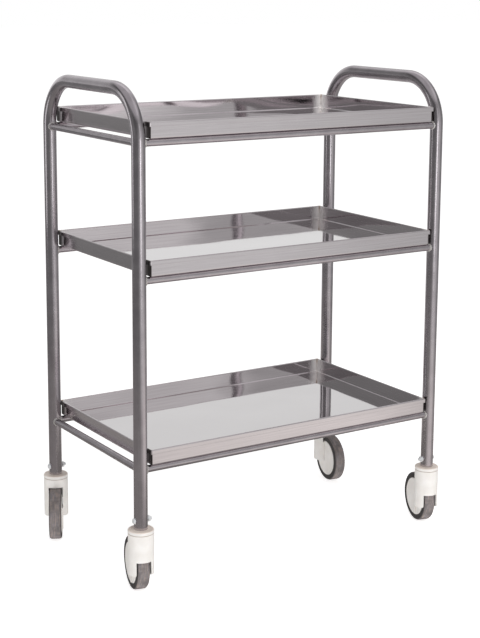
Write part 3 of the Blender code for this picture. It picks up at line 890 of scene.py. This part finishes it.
def build_frame():
    steel, bead_steel = tube_steel(), weld_metal()
    tube = side_frame_mesh()
    for side, x in POST_X.items():
        place = Matrix.Translation((x, 0, 0))
        add(f"{side}_end_tube", tube, steel, "frame", place, [f"side_frame_{side}"])

    centre_x = (POST_X["left"] + POST_X["right"]) / 2
    half_x = (POST_X["right"] - POST_X["left"]) / 2
    long_rail, side_rail = rail_mesh(half_x), rail_mesh(POST_Y)
    beads = [bead_mesh(variant) for variant in range(4)]
    quarter = math.radians(90)
    bead_count = 0
    for node in frame["record"]["behaviour"]["bodies"]["frame"]:
        if "_rail_" not in node:
            continue
        level, side = node.split("_rail_")
        z = middle(node).z
        if side in ("front", "back"):
            y = POST_Y if side == "back" else -POST_Y
            place = Matrix.Translation((centre_x, y, z))
            mesh, posts = long_rail, [(centre_x - half_x, y, 0), (centre_x + half_x, y, 2 * quarter)]
        else:
            x = POST_X[side]
            place = Matrix.Translation((x, 0, z)) @ Matrix.Rotation(quarter, 4, "Z")
            mesh, posts = side_rail, [(x, -POST_Y, quarter), (x, POST_Y, -quarter)]
        add(f"{level}_{side}_bar", mesh, steel, "frame", place, [node])
        for end, (x, y, turn) in enumerate(posts):
            bead_place = Matrix.Translation((x, y, z)) @ Matrix.Rotation(turn, 4, "Z")
            bead = beads[bead_count % len(beads)]
            name = f"{level}_{side}_weld_{end + 1}"
            add(name, bead, bead_steel, "frame", bead_place)
            bead_count += 1


def build_trays():
    low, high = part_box("tray_top")
    length, depth, height = high - low
    mesh = tray_mesh(length, depth, height)
    half_size = (length / 2, depth / 2)
    materials = [tray_outer_steel(*half_size), tray_inner_steel(*half_size), tray_floor_steel()]
    for level in LEVELS:
        low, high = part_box(f"tray_{level}")
        place = Matrix.Translation(((low.x + high.x) / 2, (low.y + high.y) / 2, low.z))
        add(f"{level}_tray", mesh, materials, f"tray_{level}", place, [f"tray_{level}"])


def housing_mesh(radius, bottom, top):
    beyond = radius + CUTTER_MARGIN
    below = bottom - CUTTER_MARGIN
    above = top + CUTTER_MARGIN
    leg_straight = bottom + LEG_ROUNDING + 2 * MM
    pin_hole_end = SLOT_TOP_Z - 2 * MM
    outline = fillet([(0, top), (radius, top, 0.8 * MM), (radius, below), (0, below)])
    body = lathe("housing_body", outline, ROUND_SEGMENTS)
    side_view = fillet(
        [
            (-beyond, above), (-beyond, leg_straight), (-LEG_HALF_LENGTH, leg_straight),
            (-LEG_HALF_LENGTH, bottom, LEG_ROUNDING), (LEG_HALF_LENGTH, bottom, LEG_ROUNDING),
            (LEG_HALF_LENGTH, leg_straight), (beyond, leg_straight), (beyond, above),
        ],
        closed=True,
        steps=8,
    )
    wheel_slot = [
        (-beyond, below - CUTTER_MARGIN), (-beyond, WINDOW_TOP_Z), (SLOT_FRONT_X, WINDOW_TOP_Z),
        (SLOT_FRONT_X, SLOT_TOP_Z), (beyond, SLOT_TOP_Z), (beyond, below - CUTTER_MARGIN),
    ]
    pocket = lathe(
        "pocket",
        [
            (0, above), (POCKET_RADIUS, above), (POCKET_RADIUS, POCKET_FLOOR_Z),
            (PIN_HOLE_RADIUS, POCKET_FLOOR_Z), (PIN_HOLE_RADIUS, pin_hole_end),
            (0, pin_hole_end),
        ],
        SMALL_SEGMENTS,
    )
    dimple_z = SLOT_TOP_Z + DIMPLE_RISE
    dimple_end = (radius + DIMPLE_RADIUS, 0, dimple_z)
    dimple = rod_mesh(DIMPLE_RADIUS, (radius - DIMPLE_DEPTH, 0, dimple_z), dimple_end, 24)
    steps = [
        ("INTERSECT", slab_mesh(side_view, beyond)),
        ("DIFFERENCE", slab_mesh(wheel_slot, SLOT_HALF_WIDTH)),
        ("DIFFERENCE", pocket),
        ("DIFFERENCE", dimple),
    ]
    return carve("housing", body, steps, edge=HOUSING_EDGE)


def collar_mesh(radius, bottom, top):
    profile = fillet(
        [
            (PIN_HOLE_RADIUS, top), (radius, top, COLLAR_ROUNDING), (radius, bottom, 0.6 * MM),
            (PIN_HOLE_RADIUS, bottom),
        ],
        steps=8,
    )
    return lathe("collar", profile, ROUND_SEGMENTS)


def stem_mesh(plug_radius, plug_top, plug_bottom, head_bottom):
    profile = fillet(
        [
            (0, plug_top), (plug_radius, plug_top, 1.5 * MM),
            (plug_radius, plug_bottom, 0.3 * MM), (PIN_RADIUS, plug_bottom),
            (PIN_RADIUS, PIN_HEAD_TOP_Z), (PIN_HEAD_RADIUS, PIN_HEAD_TOP_Z, 0.8 * MM),
            (PIN_HEAD_RADIUS, head_bottom, 1.2 * MM), (0, head_bottom),
        ]
    )
    return lathe("stem", profile, SMALL_SEGMENTS)


def bearing_mesh(radius, bottom, top):
    """Two races with a dished gap between them."""
    centre = (PIN_HOLE_RADIUS + radius) / 2
    profile = fillet(
        [
            (PIN_HOLE_RADIUS, top, 0.4 * MM), (centre - 1.4 * MM, top, 0.3 * MM),
            (centre - 1.0 * MM, top - 1.0 * MM), (centre + 1.0 * MM, top - 1.0 * MM),
            (centre + 1.4 * MM, top, 0.3 * MM), (radius, top, 0.4 * MM),
            (radius, bottom, 0.4 * MM), (PIN_HOLE_RADIUS, bottom, 0.4 * MM),
        ],
        closed=True,
        steps=3,
    )
    return lathe("bearing", profile, SMALL_SEGMENTS)


def cheek_mesh(radius, face, axle_half_length):
    """The round plate beside the wheel, slightly dished, with its pad and its rib."""
    plate = lathe(
        "cheek",
        fillet(
            [
                (0, face - 0.35 * MM), (radius - 5 * MM, face - 0.35 * MM, 3 * MM),
                (radius - 3.5 * MM, face), (radius, face, 0.7 * MM),
                (radius, CHEEK_BACK, 0.3 * MM), (CHEEK_BOSS_RADIUS, CHEEK_BACK, 0.5 * MM),
                (CHEEK_BOSS_RADIUS, CHEEK_BOSS_INNER, 0.4 * MM), (AXLE_BORE, CHEEK_BOSS_INNER),
                (AXLE_BORE, axle_half_length + GAP), (0, axle_half_length + GAP),
            ],
            steps=4,
        ),
        ROUND_SEGMENTS,
    )
    blocks = [
        ("UNION", box_mesh((left, low, CHEEK_ROOT), (right, high, block_face)))
        for left, right, low, high, block_face in CHEEK_BLOCKS
    ]
    return carve("cheek", plate, blocks, edge=CHEEK_EDGE)


def hub_mesh():
    """The wheel's core, with a thin web between its rim and its boss."""
    rim_outer = TYRE_INNER_RADIUS - 0.3 * MM
    upper = [
        (AXLE_BORE, HUB_BOSS_HALF_WIDTH, 0.3 * MM),
        (HUB_BOSS_RADIUS, HUB_BOSS_HALF_WIDTH, 0.5 * MM),
        (HUB_BOSS_RADIUS, HUB_WEB_HALF_WIDTH, 1.5 * MM),
        (HUB_RIM_INNER_RADIUS, HUB_WEB_HALF_WIDTH, 1.5 * MM),
        (HUB_RIM_INNER_RADIUS, HUB_RIM_HALF_WIDTH, 0.5 * MM),
        (rim_outer, HUB_RIM_HALF_WIDTH, 0.4 * MM),
    ]
    lower = [(radius, -height, rounding) for radius, height, rounding in reversed(upper)]
    return lathe("hub", fillet(upper + lower, closed=True, steps=3), ROUND_SEGMENTS)


def tyre_mesh(radius, half_width):
    """The tyre, its shoulders round, with a low ring on each side and a moulding line on the tread."""
    line = 0.12 * MM
    upper = [
        (TYRE_INNER_RADIUS, half_width - 0.4 * MM, 0.4 * MM),
        (TYRE_INNER_RADIUS + 3.2 * MM, half_width - 0.4 * MM, 0.8 * MM),
        (TYRE_INNER_RADIUS + 4.0 * MM, half_width, 0.8 * MM),
        (radius - 0.5 * MM, half_width, TYRE_SHOULDER), (radius, 0.6 * half_width, 3 * MM),
        (radius, 0.35 * MM), (radius - line, 0.12 * MM),
    ]
    lower = [(point[0], -point[1], *point[2:]) for point in reversed(upper)]
    return lathe("tyre", fillet(upper + lower, closed=True, steps=6), ROUND_SEGMENTS)


def bolt_mesh(head_radius, head_face, head_end, nut_top, thread_end):
    """The cross bolt along Z, domed head below and a threaded end above."""
    dome = []
    for i in range(9):
        a = math.radians(90 * i / 8)
        rise = (abs(head_end) - abs(head_face) - 0.8 * MM) * math.cos(a)
        dome.append((head_radius * math.sin(a), head_face - 0.8 * MM - rise))
    profile = dome + [(head_radius, head_face), (BOLT_RADIUS, head_face)]
    z = nut_top - 2 * MM
    profile.append((BOLT_RADIUS, z))
    while z + THREAD_PITCH < thread_end - 0.6 * MM:
        profile.append((BOLT_RADIUS - THREAD_DEPTH, z + 0.5 * THREAD_PITCH))
        profile.append((BOLT_RADIUS, z + THREAD_PITCH))
        z += THREAD_PITCH
    profile += [(BOLT_RADIUS - 0.7 * MM, thread_end), (0, thread_end)]
    return lathe("cross_bolt", profile, SMALL_SEGMENTS, sharp_angle=50)


def nut_mesh(corner_radius, bottom, top):
    """A hexagon nut along Z, its corners chamfered as on a real one."""
    hexagon = rod_mesh(corner_radius, (0, 0, bottom), (0, 0, top), 6)
    chamfer = 0.7 * MM
    turned_blank = lathe(
        "blank",
        [
            (0, top + 0.05 * MM), (corner_radius - 2.2 * chamfer, top + 0.05 * MM),
            (corner_radius + 0.3 * MM, top - chamfer),
            (corner_radius + 0.3 * MM, bottom + chamfer),
            (corner_radius - 2.2 * chamfer, bottom - 0.05 * MM), (0, bottom - 0.05 * MM),
        ],
        SMALL_SEGMENTS,
    )
    bore = rod_mesh(BOLT_RADIUS + 0.3 * MM, (0, 0, bottom - CUTTER_MARGIN), (0, 0, top + CUTTER_MARGIN), 32)
    return carve("nut", hexagon, [("INTERSECT", turned_blank), ("DIFFERENCE", bore)])


def build_casters():
    plastic = moulded_plastic(
        "caster_plastic", (0.87, 0.845, 0.82), (0.81, 0.78, 0.745), (0.52, 0.49, 0.45)
    )
    hub_plastic = moulded_plastic(
        "hub_plastic", (0.70, 0.69, 0.67), (0.62, 0.61, 0.59), (0.40, 0.39, 0.37)
    )
    nylon, hub_nylon = (plastic, "caster_plastic"), (hub_plastic, "hub_plastic")
    rubber, turned = (tyre_rubber(), "tyre_rubber"), (machined_steel(), "axle_steel")
    zinc = (bolt_steel(), "bolt_steel")

    sample = "front_left_caster"
    housing_low, housing_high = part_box(f"{sample}_housing")
    collar_low, collar_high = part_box(f"{sample}_collar")
    stem_low, stem_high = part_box(f"{sample}_stem")
    bearing_low, bearing_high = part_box(f"{sample}_bearing")
    tyre_low, tyre_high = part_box(f"{sample}_tyre")
    tyre_radius = (tyre_high.z - tyre_low.z) / 2

    housing = housing_mesh(HOUSING_RADIUS, housing_low.z, housing_high.z)
    collar = collar_mesh(COLLAR_RADIUS, collar_low.z, collar_high.z)
    stem = stem_mesh(PLUG_RADIUS, stem_high.z, collar_high.z + GAP, stem_low.z)
    bearing = bearing_mesh(BEARING_RADIUS, bearing_low.z, bearing_high.z)
    cheek = cheek_mesh(CHEEK_RADIUS, TYRE_HALF_WIDTH, AXLE_HALF_LENGTH)
    hub = hub_mesh()
    tyre = tyre_mesh(tyre_radius, TYRE_HALF_WIDTH)
    half = AXLE_HALF_LENGTH
    profile = [(0, half), (AXLE_RADIUS, half, 0.5 * MM), (AXLE_RADIUS, -half, 0.5 * MM), (0, -half)]
    axle = lathe("axle", fillet(profile), SMALL_SEGMENTS)

    seat = TUBE_RADIUS + GAP
    nut_top = seat + NUT_HEIGHT
    bolt = bolt_mesh(BOLT_HEAD_RADIUS, -seat, -seat - BOLT_HEAD_HEIGHT, nut_top, nut_top + THREAD_STANDOUT)
    nut = nut_mesh(NUT_CORNER_RADIUS, seat, nut_top)

    flip = Matrix.Rotation(math.radians(180), 4, "X")
    for corner in CORNERS:
        turning, rolling = f"{corner}_swivel", f"{corner}_wheel"
        swivel, wheel = caster_places(corner)
        upright = Matrix.Translation((swivel.translation.x, swivel.translation.y, 0))
        side = -1 if corner.endswith("left") else 1
        inwards = Matrix.Rotation(math.radians(-90 * side), 4, "Y")
        across = upright @ Matrix.Translation((0, 0, BOLT_Z)) @ inwards
        for name, mesh, (material, slot), body, place, node in (
            ("fork_housing", housing, nylon, turning, swivel, "caster_housing"),
            ("swivel_bearing", bearing, turned, turning, swivel, "caster_bearing"),
            ("wheel_axle", axle, turned, turning, wheel, "caster_axle"),
            ("right_cheek_plate", cheek, nylon, turning, wheel, "caster_right_cheek"),
            ("left_cheek_plate", cheek, nylon, turning, wheel @ flip, "caster_left_cheek"),
            ("wheel_hub", hub, hub_nylon, rolling, wheel, "caster_hub"),
            ("wheel_tyre", tyre, rubber, rolling, wheel, "caster_tyre"),
            ("top_collar", collar, nylon, "frame", upright, "caster_collar"),
            ("king_pin_stem", stem, turned, "frame", upright, "caster_stem"),
            ("through_bolt", bolt, zinc, "frame", across, "cross_bolt"),
            ("hexagon_nut", nut, zinc, "frame", across, "bolt_nut"),
        ):
            add(f"{corner}_{name}", mesh, material, body, place, [f"{corner}_{node}"])


# ---------------------------------------------------------------- studio


def floor_material():
    """A white floor. Steel sees it as dim as the room, by compass angle, and painted dark next to the cart
    as the shade under it.
    """
    s = Surface("studio_floor", roughness=0.85)
    cloud = s.noise(s.place(), 1.5, 2)
    s.feed("Base Color", s.mixed(cloud, (0.90, 0.90, 0.90), (0.92, 0.92, 0.92)))
    s.set("emission color", (1, 1, 1, 1))
    s.set("emission strength", FLOOR_GLOW)
    x, y = s.axes()[:2]
    distance = s.value("SQRT", s.plus(s.times(x, x), s.times(y, y)))
    ring = s.vector("MULTIPLY", s.by_compass(FLOOR_RING_LIGHT, x, y), FLOOR_RING_TINT)
    far = s.mixed(s.remap(distance, 0, 1, *FLOOR_RING_FADE), ring, s.by_compass(FLOOR_LIGHT, x, y))
    # Painted shade: next to the cart the floor that steel sees is dark.
    colour = s.mixed(s.remap(distance, 0, 1, *FLOOR_SHADE_FADE), FLOOR_NEAR_SHADE, far)
    seen_by_steel = s.wired("ShaderNodeEmission", colour)
    path = s.node("ShaderNodeLightPath")
    shown = s.choice(path.outputs["Is Glossy Ray"], s.shader, seen_by_steel)
    s.plug(shown.outputs[0], s.tree.nodes["Material Output"].inputs["Surface"])
    return s.material


def build_floor():
    bpy.ops.mesh.primitive_plane_add(size=60, location=(0, 0, cad_low.z))
    floor = bpy.context.active_object
    floor.name = "studio_floor"
    floor.data.materials.append(floor_material())


def build_world():
    """White for the camera and for soft light. Steel sees a dim room with a bright backdrop."""
    world = bpy.data.worlds.new("studio")
    bpy.context.scene.world = world
    world.use_nodes = True
    s = Nodes(world.node_tree)
    s.tree.nodes.clear()
    x, y, z = s.axes("Generated")
    lean_x, lean_y = HORIZON_LEAN
    level = s.by_compass(HORIZON, s.plus(x, s.times(z, lean_x)), s.plus(y, s.times(z, lean_y)))
    room = s.vector("MULTIPLY", level, s.remap(z, 1, CEILING_SHARE, *ROOM_DIMMING, "LINEAR"))
    ceiling = s.vector("MULTIPLY", s.remap(z, 0, 1, *CEILING_EDGE), CEILING_COLOUR)

    seen_by_steel = s.wired("ShaderNodeBackground", s.vector("ADD", room, ceiling))
    soft_light = s.wired("ShaderNodeBackground", (*SOFT_LIGHT, 1))
    backdrop = s.wired("ShaderNodeBackground", (1, 1, 1, 1))
    path = s.node("ShaderNodeLightPath")
    lit = s.choice(path.outputs["Is Glossy Ray"], soft_light, seen_by_steel)
    shown = s.choice(path.outputs["Is Camera Ray"], lit, backdrop)
    s.wired("ShaderNodeOutputWorld", shown.outputs[0])


def add_card(name, compass, distance, width, low, high, level, upper_level):
    """A tall softbox that only steel sees, standing at a compass angle and distance from the cart.

    It fades out to its sides, and goes from one level to the other over CARD_DIMMING's heights.
    """
    shape = bmesh.new()
    corners = [(-width / 2, low), (width / 2, low), (width / 2, high), (-width / 2, high)]
    shape.faces.new([shape.verts.new((0, y, z)) for y, z in corners])
    mesh = bpy.data.meshes.new(name)
    shape.to_mesh(mesh)
    shape.free()
    material = bpy.data.materials.new(name)
    material.use_nodes = True
    s = Nodes(material.node_tree)
    y, z = s.axes()[1:]
    strength = s.remap(z, level, upper_level, *CARD_DIMMING)
    glow = s.wired("ShaderNodeEmission", (1, 1, 1, 1), strength)
    cover = s.remap(s.value("ABSOLUTE", y), 1, 0, width * CARD_CORE / 2, width / 2)
    shown = s.choice(cover, s.node("ShaderNodeBsdfTransparent"), glow)
    s.plug(shown.outputs[0], s.tree.nodes["Material Output"].inputs["Surface"])
    mesh.materials.append(material)
    card = placed(name, mesh)
    turn = Matrix.Rotation(math.radians(compass), 4, "Z")
    card.matrix_world = turn @ Matrix.Translation((distance, 0, 0))
    card.visible_camera = card.visible_diffuse = card.visible_shadow = False


def add_light(name, place, size, power):
    """A softbox turned towards the cart's middle."""
    data = bpy.data.lights.new(name, "AREA")
    data.shape = "RECTANGLE"
    data.size, data.size_y = size
    data.energy = power
    light = placed(name, data)
    light.location = place
    aim = (cad_low + cad_high) / 2 - Vector(place)
    light.rotation_euler = aim.to_track_quat("-Z", "Y").to_euler()
    light.visible_glossy = False


def build_lights():
    add_light("key_softbox", (-0.2, -2.6, 1.3), (1.6, 1.4), 12.3)
    add_light("side_softbox", (-3.2, -1.4, 1.3), (1.2, 1.2), 2)
    add_light("right_softbox", (3.0, -1.2, 1.0), (1.4, 1.2), 4.5)
    add_light("top_softbox", (-0.5, -1.9, 2.9), (2.0, 2.0), 31)
    add_card("strip_card", -92, 2.3, 0.66, 0.25, 2.1, 2.25, 0.75)
    add_card("left_card", 156, 1.1, 0.42, 0.52, 1.25, 0.9, 0.9)


def build_camera():
    data = bpy.data.cameras.new("camera")
    data.lens = CAMERA_LENS
    data.shift_y = CAMERA_SHIFT_Y
    camera = placed("camera", data)
    yaw, pitch, roll = CAMERA_TURNS
    look = Matrix.Translation(CAMERA_PLACE)
    for degrees, axis in ((-yaw, "Z"), (90 - pitch, "X"), (roll, "Z")):
        look = look @ Matrix.Rotation(math.radians(degrees), 4, axis)
    camera.matrix_world = look
    bpy.context.scene.camera = camera


build_camera()
build_frame()
build_trays()
build_casters()
build_floor()
build_world()
build_lights()
bpy.context.scene.view_settings.view_transform = "Standard"
